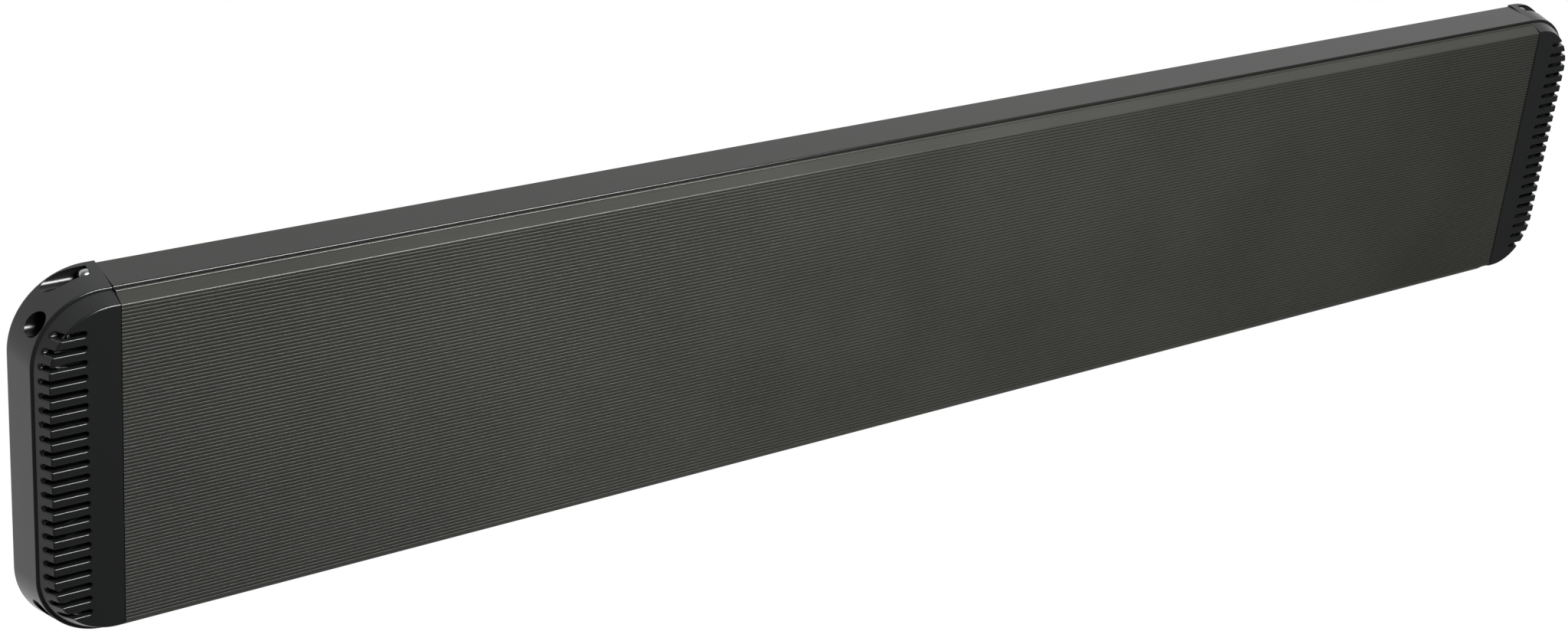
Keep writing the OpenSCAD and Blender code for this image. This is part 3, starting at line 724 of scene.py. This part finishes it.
@dataclass
class EndCap:
    """A die-cast end cap: two drafted tiers, vent slots with rounded lips, and the screw recesses.

    A screw's numbers are its height, its depth behind the face and its recess's radius. The gland's are its
    place along X, its height and its hole's radius. A mark's are half its width, its length and its depth.
    """

    body: Body
    side: Side
    wall: float = 2.4
    back_edge: Edge = field(default_factory=lambda: Edge(0, 0, 36.5))
    rear_step: Edge = field(default_factory=lambda: Edge(5, 3, 33.1))
    front_step: Edge = field(default_factory=lambda: Edge(6.3, 4.3, 32.45))
    face_edge: Edge = field(default_factory=lambda: Edge(9.8, 8.3, 29.7))
    back_round: float = 1.8
    step_round: float = 0.7
    face_round: float = 0.75
    round_steps: int = 4
    seam_cover: float = 0.42
    arc_steps: int = 26
    inside_start: float = 2.0
    inside_rise: float = 0.6
    rear_blend: float = 0.1
    face_blend: float = 0.28
    slot_count: int = 21
    slot_pitch: float = 6.93
    slot_height: float = 2.7
    slot_reach: float = 25.5
    slot_back: float = 5.8
    slot_lip: float = 0.85
    slot_steps: int = 8
    cutter_lift: float = 1.5
    cutter_skim: float = 0.03
    corner_screw: tuple[float, float, float] = (85.6, 23.2, 4.2)
    side_screw: tuple[float, float, float] = (71.0, 14.5, 5.3)
    corner_floor: float = 4.6
    side_floor: float = 4.0
    corner_lip: float = 0.6
    side_lip: float = 0.5
    boss_wall: float = 1.8
    boss_start: float = 3.0
    boss_length: float = 60.0
    boss_sides: int = 40
    bore_length: float = 70.0
    gland: tuple[float, float, float] = (492.0, -18.0, 8.1)
    gland_wall: float = 4.0
    mark_angles: tuple[float, float] = (32.5, 51.5)
    mark: tuple[float, float, float] = (0.7, 1.1, 0.5)
    mark_inset: float = 1.0

    @property
    def quarter(self) -> list[float]:
        """Angles of a quarter round."""
        return [QUARTER_TURN * k / self.round_steps for k in range(self.round_steps + 1)]

    @property
    def slot_turn(self) -> list[float]:
        """Angles round a slot's end, without the first and the last."""
        return [QUARTER_TURN - math.pi * k / self.slot_steps for k in range(1, self.slot_steps)]

    @property
    def slot_near(self) -> float:
        """Where the round of a slot's inner end has its middle, along X."""
        return self.body.cap_end - self.slot_reach + self.slot_height / 2

    @property
    def slot_last(self) -> float:
        """Depth of the middle of the round at a slot's other end."""
        return self.slot_back - self.slot_height / 2

    def edge_at(self, depth: float) -> Edge:
        """The outline at a depth.

        Args:
            depth: Depth behind the face.

        Returns:
            The outline there, blended along its tier.
        """
        if depth > self.body.front_depth:
            share = (depth - self.body.front_depth) / (self.body.depth - self.body.front_depth)
            return self.rear_step.towards(self.back_edge, share)
        return self.face_edge.towards(self.front_step, max(depth, 0) / self.body.front_depth)

    def outline(self, depth: float, edge: Edge, shrink: float, start: float) -> list[Point]:
        """One closed ring of the cap, from the seam round its end and back.

        Args:
            depth: Depth behind the face.
            edge: The outline there.
            shrink: How far the ring stands in from the outline.
            start: Where the ring starts, along X.

        Returns:
            The ring's points.
        """
        half_x = self.body.cap_end - edge.end - shrink
        half_z = self.body.half_height - edge.top - shrink
        radius = edge.radius - shrink
        turn = [QUARTER_TURN * k / self.arc_steps for k in range(self.arc_steps + 1)]
        upper = [(half_x - radius + radius * math.sin(a), half_z - radius + radius * math.cos(a))
                 for a in turn]
        points = [(start, half_z), *upper, *((x, -z) for x, z in reversed(upper)), (start, -half_z)]
        return [(x, self.body.front + depth, z) for x, z in points]

    def rings(self) -> list[list[Point]]:
        """The outside, from the back face to the front face.

        Returns:
            Its rings in order.
        """
        ring_gap = 1e-4
        back, step, face = self.back_round, self.step_round, self.face_round
        stations = [(self.body.depth - back * (1 - math.cos(a)), None, back * (1 - math.sin(a)))
                    for a in self.quarter]
        stations += [(self.body.front_depth + step * (1 - math.sin(a)) + ring_gap, None,
                      step * (1 - math.cos(a))) for a in self.quarter]
        stations.append((self.body.front_depth, self.front_step, 0.0))
        stations += [(face * (1 - math.sin(a)), None, face * (1 - math.cos(a))) for a in self.quarter]
        start = self.body.seam - self.seam_cover
        return [self.outline(d, e or self.edge_at(d), s, start) for d, e, s in stations]

    def hollow(self) -> list[list[Point]]:
        """The inside, open at the seam.

        Returns:
            Its rings, from the back to the front.
        """
        step = self.body.front_depth + self.wall
        stations = [(self.body.depth - self.wall, self.back_edge.towards(self.rear_step, self.rear_blend)),
                    (step, self.rear_step.towards(self.back_edge, self.rear_blend)),
                    (step - self.inside_rise, self.front_step),
                    (self.wall, self.face_edge.towards(self.front_step, self.face_blend))]
        return [self.outline(d, e, self.wall, self.body.seam - self.inside_start) for d, e in stations]

    def end_x(self, depth: float, z: float) -> float:
        """Where the cap's end surface is.

        Args:
            depth: Depth behind the face.
            z: Height.

        Returns:
            Its place along X.
        """
        edge = self.edge_at(depth)
        half_x = self.body.cap_end - edge.end
        above = abs(z) - (self.body.half_height - edge.top - edge.radius)
        if above <= 0:
            return half_x
        return half_x - edge.radius + math.sqrt(max(edge.radius ** 2 - above ** 2, 0.01))

    def slot_row(self, z: float, lift: float) -> list[Point]:
        """One long side of a slot: over the face, round its edge, and down the cap's end.

        Args:
            z: Height of the side.
            lift: How far it stands off the surface.

        Returns:
            The side's points.
        """
        bend = self.end_x(self.face_round, z) - self.face_round
        row = [(self.slot_near + (bend - self.slot_near) * t, -lift, z) for t in (0, 0.5)]
        for a in self.quarter:
            row.append((bend + (self.face_round + lift) * math.sin(a),
                        self.face_round - (self.face_round + lift) * math.cos(a), z))
        for t in (0.5, 1.0):
            depth = self.face_round + (self.slot_last - self.face_round) * t
            row.append((self.end_x(depth, z) + lift, depth, z))
        return row

    def slot_ring(self, middle: float, grow: float, lift: float) -> list[Point]:
        """A slot's closed outline.

        Args:
            middle: Height of the slot's middle.
            grow: How much wider than the slot it is on each side.
            lift: How far it stands off the surface.

        Returns:
            The outline's points.
        """
        half = self.slot_height / 2 + grow
        far_end = [(self.slot_last + half * math.cos(a), middle + half * math.sin(a))
                   for a in self.slot_turn]
        near_end = [(self.slot_near - half * math.cos(a), -lift, middle - half * math.sin(a))
                    for a in self.slot_turn]
        return [*self.slot_row(middle + half, lift),
                *((self.end_x(d, z) + lift, d, z) for d, z in far_end),
                *reversed(self.slot_row(middle - half, lift)), *near_end]

    def cut_slot(self, sketch: Sketch, middle: float) -> None:
        """Adds the shape that a slot takes out, flared at the surface by the lip's round.

        Args:
            sketch: The cutter.
            middle: Height of the slot's middle.
        """
        lip, half, near = self.slot_lip, self.slot_height / 2, self.slot_near
        levels = [(lip, self.cutter_lift), (lip, self.cutter_skim)]
        levels += [(lip - lip * math.sin(a), lip * math.cos(a) - lip)
                   for a in (math.pi / 6, math.pi / 3, QUARTER_TURN)]
        shift = self.body.front
        loops = [sketch.loop([(x, shift + d, z) for x, d, z in self.slot_ring(middle, g, o)])
                 for g, o in levels]
        for a, b in zip(loops, loops[1:]):
            sketch.skin(a, b)
        row = len(self.slot_row(0, 0))
        arc = len(self.slot_turn)
        last = shift + self.slot_last
        upper, lower = sketch.loop([(near, last, middle + half), (near, last, middle - half)])
        far = sketch.loop([(near, last + half * math.cos(a), middle + half * math.sin(a))
                           for a in self.slot_turn])
        close = sketch.loop([(near - half * math.cos(a), last, middle - half * math.sin(a))
                             for a in self.slot_turn])
        sketch.skin(loops[-1], [upper] * row + far + [lower] * row + close)
        sketch.face([upper, *far, lower])
        sketch.face([lower, *close, upper])
        top, outer = loops[0][:row], loops[0][row:row + arc]
        bottom, inner = list(reversed(loops[0][row + arc:2 * row + arc])), loops[0][2 * row + arc:]
        for k in range(row - 1):
            sketch.face([top[k], top[k + 1], bottom[k + 1], bottom[k]])
        sketch.face([top[-1], *outer, bottom[-1]])
        sketch.face([bottom[0], *inner, top[0]])

    def add_bars(self, sketch: Sketch, place: tuple[float, float, float], bar: tuple[float, float, float],
                 sides: int) -> None:
        """Adds a round bar along X at both of a pair of screws.

        Args:
            sketch: Where the bars go.
            place: The screw's height, depth and recess radius.
            bar: Where the bar starts, its length, and how much thicker than the recess it is all round.
            sides: Number of facets.
        """
        z, depth, radius = place
        start, length, grow = bar
        for sign in (-1, 1):
            sketch.lathe((start, self.body.front + depth, sign * z),
                         [(0, radius + grow), (length, radius + grow)], X_AXIS, sides)

    def ease_recess(self, cap: bpy.types.Object, place: tuple[float, float, float], ease: float) -> None:
        """Rounds the rim where a screw recess breaks through the cap's surface.

        Args:
            cap: The cap, with its recesses cut.
            place: The recess's height, depth and radius.
            ease: Radius of the round.
        """
        weld, fit, floor_clear, rim_angle = 0.02, 0.06, 2.8, 22
        z, depth, radius = place
        y = self.body.front + depth
        bm = bmesh.new()
        bm.from_mesh(cap.data)
        bmesh.ops.remove_doubles(bm, verts=bm.verts, dist=weld * MM)

        def on_wall(vert: bmesh.types.BMVert) -> bool:
            """True on the recess's wall, clear of its floor."""
            x, dy, dz = abs(vert.co.x) / MM, vert.co.y / MM - y, abs(vert.co.z) / MM - z
            return x > self.body.seam + floor_clear and abs(math.hypot(dy, dz) - radius) < fit

        rim = [e for e in bm.edges if e.is_manifold and all(on_wall(v) for v in e.verts)
               and e.calc_face_angle() > math.radians(rim_angle)]
        bmesh.ops.bevel(bm, geom=rim, offset=ease * MM, offset_type="OFFSET", segments=3, profile=0.5,
                        affect="EDGES", clamp_overlap=True, loop_slide=True)
        bm.to_mesh(cap.data)
        bm.free()

    def cut_marks(self, sketch: Sketch) -> None:
        """Adds the two small notches at each back corner.

        Args:
            sketch: The cutter.
        """
        width, length, depth = self.mark
        middle_x = self.body.cap_end - self.back_edge.radius
        middle_z = self.body.half_height - self.back_edge.radius
        for sign in (-1, 1):
            for degrees in self.mark_angles:
                a = math.radians(degrees)
                out = Vector((math.cos(a), 0, sign * math.sin(a)))
                along = Vector((-out.z, 0, out.x))
                corner = Vector((middle_x, self.body.back - self.mark_inset, sign * middle_z))
                middle = corner + out * self.back_edge.radius
                corners = [middle + out * p * width + along * q * length
                           for p, q in ((-1, -1), (1, -1), (1, 1), (-1, 1))]
                sketch.loft([[tuple(c + Vector((0, s, 0))) for c in corners] for s in (-depth, depth)])

    def build(self, workshop: Workshop) -> None:
        """Makes the cap and hands it over.

        Args:
            workshop: Holds the finishes.
        """
        side = self.side.name.lower()
        shell, core, boss, cuts = Sketch(), Sketch(), Sketch(), Sketch()
        shell.loft(self.rings())
        core.loft(self.hollow())
        bar = (self.body.seam - self.boss_start, self.boss_length, self.boss_wall)
        for screw in (self.corner_screw, self.side_screw):
            self.add_bars(boss, screw, bar, self.boss_sides)
        for i in range(self.slot_count):
            self.cut_slot(cuts, (i - (self.slot_count - 1) / 2) * self.slot_pitch)
        for screw, floor in ((self.corner_screw, self.body.seam + self.corner_floor),
                             (self.side_screw, self.body.body_end + self.side_floor)):
            self.add_bars(cuts, screw, (floor, self.bore_length, 0), BORE_SIDES)
        self.cut_marks(cuts)
        if self.side is Side.RIGHT:
            x, z, radius = self.gland
            hole = [(0, radius), (self.gland_wall + 1, radius)]
            cuts.lathe((x, self.body.back - self.gland_wall, z), hole, Y_AXIS, BORE_SIDES)
        mirrored = self.side is Side.LEFT
        cap = shell.to_object(f"vented_cap_{side}", mirrored)
        inside = core.to_object("core", mirrored)
        carve(inside, boss.to_object("boss", mirrored))
        carve(cap, inside)
        carve(cap, cuts.to_object("cuts", mirrored))
        for place, ease in ((self.corner_screw, self.corner_lip), (self.side_screw, self.side_lip)):
            self.ease_recess(cap, place, ease)
        soften(cap)
        workshop.hand_over(cap, [f"end_cap_{side}"])


@dataclass
class Emitter:
    """The ribbed face: fine ribs, a smooth flange and a bead along its back edge.

    Behind the plate, two legs with an outward foot hold it in the housing. Heights are from the middle.
    """

    body: Body
    ribs: int = 88
    inset: float = 0.4
    front: float = 0.3
    border: float = 1.0
    edge_ease: float = 0.5
    rib_height: float = 1.1
    plate: float = 2.8
    back_gap: float = 0.8
    root: float = 0.8
    bead: float = 0.7
    bead_lift: float = 0.5
    flange_wall: float = 2.2
    leg: tuple[float, float] = (76.0, 78.0)
    foot: tuple[float, float] = (10.8, 12.3)
    foot_reach: float = 82.0
    crease: float = 50.0

    def rib(self, start: float, pitch: float) -> Section:
        """One rib and the groove above it.

        Args:
            start: Height where the rib starts.
            pitch: Height that a rib and a groove take together.

        Returns:
            Depths and heights, upwards.
        """
        floor = self.rib_height
        shoulder = floor - 0.08
        shape = ((0.12, 0.0), (0.03, 0.05), (0.0, 0.11), (0.0, 0.21), (0.18, 0.27), (0.26, 0.31),
                 (0.18, 0.35), (0.0, 0.41), (0.0, 0.51), (0.03, 0.57), (0.12, 0.62), (shoulder, 0.71),
                 (floor, 0.76), (floor, 0.87), (shoulder, 0.92))
        return [(self.front + depth, start + share * pitch) for depth, share in shape]

    def section(self) -> Section:
        """The whole section.

        Returns:
            Depths behind the face and heights, all round.
        """
        end = self.body.front_depth - self.back_gap
        top = self.body.front_top(end) - self.inset
        face = self.body.front_top(0) - self.inset
        field_half = face - self.border
        pitch = 2 * field_half / self.ribs
        back = self.front + self.rib_height + self.plate
        ease = self.edge_ease
        inner, outer = self.leg
        near, far = self.foot
        upper: Section = [(self.front, field_half), (self.front, face - ease),
                          (self.front + 0.3 * ease, face - 0.24 * ease),
                          (self.front + ease, face + 0.24 * ease)]
        upper += [(end - self.bead + self.bead * math.cos(math.radians(a)),
                   top + self.bead_lift + self.bead * math.sin(math.radians(a)))
                  for a in range(200, -1, -20)]
        upper += [(end, top - self.flange_wall), (back, face - self.root), (back, outer), (near, outer),
                  (near, self.foot_reach), (far, self.foot_reach), (far, inner), (back, inner)]
        lower = [(d, -z) for d, z in reversed(upper[1:])]
        ribs = [p for i in range(self.ribs) for p in self.rib(-field_half + i * pitch, pitch)]
        return ribs + upper + lower

    def build(self, workshop: Workshop) -> None:
        """Makes the emitter and hands it over.

        Args:
            workshop: Holds the finishes.
        """
        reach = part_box("emitter_panel")[1].x / MM
        sketch = Sketch()
        sketch.extrude([(self.body.front + d, z) for d, z in self.section()], -reach, reach)
        panel = sketch.to_object("ribbed_emitter")
        soften(panel, self.crease)
        workshop.hand_over(panel, ["emitter_panel"])


@dataclass
class Housing:
    """The drafted housing behind the emitter, with eased edges."""

    body: Body
    wall: float = 2.2
    back_wall: float = 2.0
    lip: float = 2.0
    lip_reach: float = 78.4
    back_round: float = 1.8
    front_round: float = 0.35
    lip_round: float = 0.2

    def build(self, workshop: Workshop) -> None:
        """Makes the housing and hands it over.

        Args:
            workshop: Holds the finishes.
        """
        b = self.body
        step = b.front + b.front_depth
        top = b.rear_top(b.front_depth)
        inner_top = b.rear_top(b.front_depth + self.lip) - self.wall
        inner_back, inner_side = b.back - self.back_wall, b.half_height - self.wall
        outside = [(b.back, -b.half_height), (b.back, b.half_height), (step, top), (step, self.lip_reach),
                   (step + self.lip, self.lip_reach), (step + self.lip, inner_top), (inner_back, inner_side),
                   (inner_back, -inner_side), (step + self.lip, -inner_top),
                   (step + self.lip, -self.lip_reach), (step, -self.lip_reach), (step, -top)]
        rounds = {0: self.back_round, 1: self.back_round, 2: self.front_round, 11: self.front_round,
                  3: self.lip_round, 10: self.lip_round}
        sketch = Sketch()
        sketch.extrude(fillet(outside, rounds), -b.body_end, b.body_end)
        shell = sketch.to_object("drafted_housing")
        soften(shell)
        workshop.hand_over(shell, ["rear_housing"])


@dataclass
class CapScrews:
    """Domed screws with a cross recess, in the caps' recesses.

    The head's numbers are its radius and its height. The cross's are shares of them: half its length and
    half its width as shares of the radius, and its depth as a share of the height.
    """

    head: tuple[float, float]
    nodes: str
    shank: float = 1.6
    rim: float = 0.25
    rim_share: float = 0.96
    dome_share: float = 0.75
    dome_curve: float = 0.7
    dome_angles: tuple[float, ...] = (0.0, 0.35, 0.7, 1.0, 1.25, 1.5)
    dome_tip: float = 0.05
    cross: tuple[float, float, float] = (0.55, 0.13, 0.45)
    crease: float = 40.0

    def build(self, workshop: Workshop, side: Side) -> None:
        """Makes the pair of screws at one end, where the CAD node's are.

        Args:
            workshop: Holds the finishes.
            side: The end.
        """
        name = f"{self.nodes}_{side.name.lower()}"
        low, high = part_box(name)
        radius, height = self.head
        sketch, cross = Sketch(), Sketch()
        outer = max(abs(low.x), abs(high.x)) / MM
        inner = min(abs(low.x), abs(high.x)) / MM
        depth = (low.y + high.y) / 2 / MM
        z = (high.z / MM) - radius
        seat = outer - height - inner
        rise = height * self.dome_share
        dome = [(0, self.shank), (seat, self.shank), (seat, radius * self.rim_share),
                (seat + self.rim, radius)]
        dome += [(outer - inner - rise + rise * math.sin(a),
                  max(radius * math.cos(a) ** self.dome_curve, self.dome_tip)) for a in self.dome_angles]
        arm, half = radius * self.cross[0], radius * self.cross[1]
        outline = [(half, half), (half, arm), (-half, arm), (-half, half), (-arm, half), (-arm, -half),
                   (-half, -half), (-half, -arm), (half, -arm), (half, -half), (arm, -half), (arm, half)]
        for sign in (-1, 1):
            sketch.lathe((inner, depth, sign * z), dome, X_AXIS, 36)
            cross.loft([[(x, depth + y, sign * z + h) for y, h in outline]
                        for x in (outer - height * self.cross[2], outer + 1)])
        mirrored = side is Side.LEFT
        screws = sketch.to_object(f"domed_{name}", mirrored)
        carve(screws, cross.to_object("cross", mirrored))
        soften(screws, self.crease)
        workshop.hand_over(screws, [name])


@dataclass
class EasedNode:
    """A CAD node's shape with its hard edges eased.

    The ease and the weld are in millimetres and the angles are in degrees. Faces that turn by less than
    flat are joined, and edges that turn by more than hard are eased.
    """

    node: str
    name: str
    ease: float = 0.35
    body: str = HEATER_BODY
    weld: float = 0.002
    flat: float = 1.0
    hard: float = 40.0

    def build(self, workshop: Workshop) -> None:
        """Copies the node, eases its edges and hands the copy over.

        Args:
            workshop: Holds the finishes.
        """
        source = frame["nodes"][self.node]
        bm = bmesh.new()
        bm.from_mesh(source.data)
        bmesh.ops.remove_doubles(bm, verts=bm.verts, dist=self.weld * MM)
        bmesh.ops.dissolve_limit(bm, angle_limit=math.radians(self.flat), verts=bm.verts, edges=bm.edges)
        mesh = bpy.data.meshes.new(self.name)
        bm.to_mesh(mesh)
        bm.free()
        piece = bpy.data.objects.new(self.name, mesh)
        bpy.context.scene.collection.objects.link(piece)
        step = piece.modifiers.new("ease", "BEVEL")
        step.width = self.ease * MM
        step.segments = 2
        step.limit_method = "ANGLE"
        step.angle_limit = math.radians(self.hard)
        step.use_clamp_overlap = True
        soften(piece)
        workshop.hand_over(piece, [self.node], self.body)


EASED = (
    EasedNode("mounting_rail", "eased_rail", 0.25),
    EasedNode("swivel_bracket_left", "pressed_swivel_left", 0.4),
    EasedNode("swivel_bracket_right", "pressed_swivel_right", 0.4),
    EasedNode("wall_bracket_left", "pressed_wall_bracket_left", 0.4, WALL_BODY),
    EasedNode("wall_bracket_right", "pressed_wall_bracket_right", 0.4, WALL_BODY),
    EasedNode("gland_cap", "ribbed_gland_cap", 0.5),
    EasedNode("cable_gland", "eased_gland", 0.3),
    EasedNode("rail_bolts", "eased_rail_bolts", 0.3),
    EasedNode("pivot_bolts", "eased_pivot_bolts", 0.3),
    EasedNode("pivot_nuts", "eased_pivot_nuts", 0.3),
    EasedNode("lock_bolts", "eased_lock_bolts", 0.25),
    EasedNode("lock_nuts", "eased_lock_nuts", 0.4),
)


# ---------------------------------------------------------------- studio


@dataclass
class Lamp:
    """A soft rectangular light, in metres."""

    name: str
    place: Point
    target: Point
    size: tuple[float, float]
    watts: float

    def build(self) -> None:
        """Makes the light."""
        data = bpy.data.lights.new(self.name, "AREA")
        data.shape, data.size, data.size_y, data.energy = "RECTANGLE", *self.size, self.watts
        obj = bpy.data.objects.new(self.name, data)
        obj.location = self.place
        obj.rotation_mode = "QUATERNION"
        obj.rotation_quaternion = (Vector(self.target) - Vector(self.place)).to_track_quat("-Z", "Y")
        bpy.context.scene.collection.objects.link(obj)


@dataclass
class Studio:
    """A pale floor, a soft room, one lamp and the camera, in metres and degrees.

    The lens and its sensor are in millimetres. A glow is how bright the floor or the room is in front of the
    heater and behind it. Its band is the stretch of Y over which the one turns into the other.
    """

    target: Point = (-0.0639, -0.0282, -0.0322)
    azimuth: float = -38.543
    elevation: float = 24.872
    roll: float = 5.718
    distance: float = 1.4783
    lens: float = 62.0
    sensor: float = 36.0
    floor_drop: float = 0.42
    floor_half: float = 9.0
    floor_glow: tuple[float, float] = (0.12, 0.88)
    floor_band: tuple[float, float] = (-0.4, 0.3)
    sky_glow: tuple[float, float] = (0.10, 0.90)
    sky_band: tuple[float, float] = (-0.3, 0.4)
    key: Lamp = field(default_factory=lambda: Lamp(
        "key", (-0.02, -0.68, 0.54), (-0.05, -0.06, 0), (0.75, 0.24), 16))

    def build_camera(self) -> None:
        """Places the camera round its target."""
        a, e = math.radians(self.azimuth), math.radians(self.elevation)
        back = Vector((math.sin(a) * math.cos(e), -math.cos(a) * math.cos(e), math.sin(e)))
        data = bpy.data.cameras.new("camera")
        data.lens, data.sensor_width = self.lens, self.sensor
        obj = bpy.data.objects.new("camera", data)
        obj.location = Vector(self.target) + back * self.distance
        turn = (-back).to_track_quat("-Z", "Y")
        obj.rotation_mode = "QUATERNION"
        obj.rotation_quaternion = turn @ Quaternion((0, 0, 1), math.radians(self.roll))
        bpy.context.scene.collection.objects.link(obj)
        bpy.context.scene.camera = obj

    def build_floor(self) -> None:
        """Makes the pale floor, which the camera sees as plain white."""
        sketch = Sketch()
        drop = CAD_BOX[0].z / MM - self.floor_drop / MM
        half = self.floor_half / MM
        corners = ((-half, -half), (half, -half), (half, half), (-half, half))
        sketch.face(sketch.loop([(x, y, drop) for x, y in corners]))
        floor = sketch.to_object("floor")
        material = bpy.data.materials.new("pale_floor")
        material.use_nodes = True
        material.node_tree.nodes.clear()
        sheet = Sheet(material.node_tree)
        rays, mix = sheet.add("ShaderNodeLightPath"), sheet.add("ShaderNodeMixShader")
        seen, spill = sheet.add("ShaderNodeEmission"), sheet.add("ShaderNodeEmission")
        place, parts = sheet.add("ShaderNodeNewGeometry"), sheet.add("ShaderNodeSeparateXYZ")
        sheet.link(place.outputs["Position"], parts.inputs[0])
        glow = sheet.spread(parts.outputs["Y"], *self.floor_glow, *self.floor_band)
        sheet.link(glow, spill.inputs["Strength"])
        sheet.link(rays.outputs["Is Camera Ray"], mix.inputs[0])
        sheet.link(spill.outputs[0], mix.inputs[1])
        sheet.link(seen.outputs[0], mix.inputs[2])
        sheet.link(mix.outputs[0], sheet.add("ShaderNodeOutputMaterial").inputs["Surface"])
        floor.data.materials.append(material)

    def build_sky(self) -> None:
        """Lights the room softly, brighter behind the heater, and shows the camera plain white."""
        world = bpy.data.worlds.new("room")
        world.use_nodes = True
        sheet = Sheet(world.node_tree)
        background = world.node_tree.nodes["Background"]
        place = sheet.add("ShaderNodeTexCoord")
        parts = sheet.add("ShaderNodeSeparateXYZ")
        rays = sheet.add("ShaderNodeLightPath")
        sheet.link(place.outputs["Generated"], parts.inputs[0])
        glow = sheet.spread(parts.outputs["Y"], *self.sky_glow, *self.sky_band)
        shown = sheet.sums("MAXIMUM", glow, rays.outputs["Is Camera Ray"])
        sheet.link(shown, background.inputs["Strength"])
        background.inputs["Color"].default_value = (1, 1, 1, 1)
        bpy.context.scene.world = world

    def build(self) -> None:
        """Makes the whole studio."""
        bpy.context.scene.view_settings.view_transform = "Standard"
        self.build_floor()
        self.build_sky()
        self.key.build()
        self.build_camera()


def main() -> None:
    """Builds every piece, dresses the rest and sets up the studio."""
    logging.basicConfig(level=logging.INFO, format="%(message)s")
    workshop = Workshop()
    workshop.dress_nodes()
    body = Body.from_frame()
    Housing(body).build(workshop)
    Emitter(body).build(workshop)
    for side in Side:
        EndCap(body, side).build(workshop)
        CapScrews((2.9, 4.4), "corner_screws").build(workshop, side)
        CapScrews((3.4, 3.0), "side_screws").build(workshop, side)
    for piece in EASED:
        piece.build(workshop)
    Studio().build()


if __name__ == "__main__":
    main()
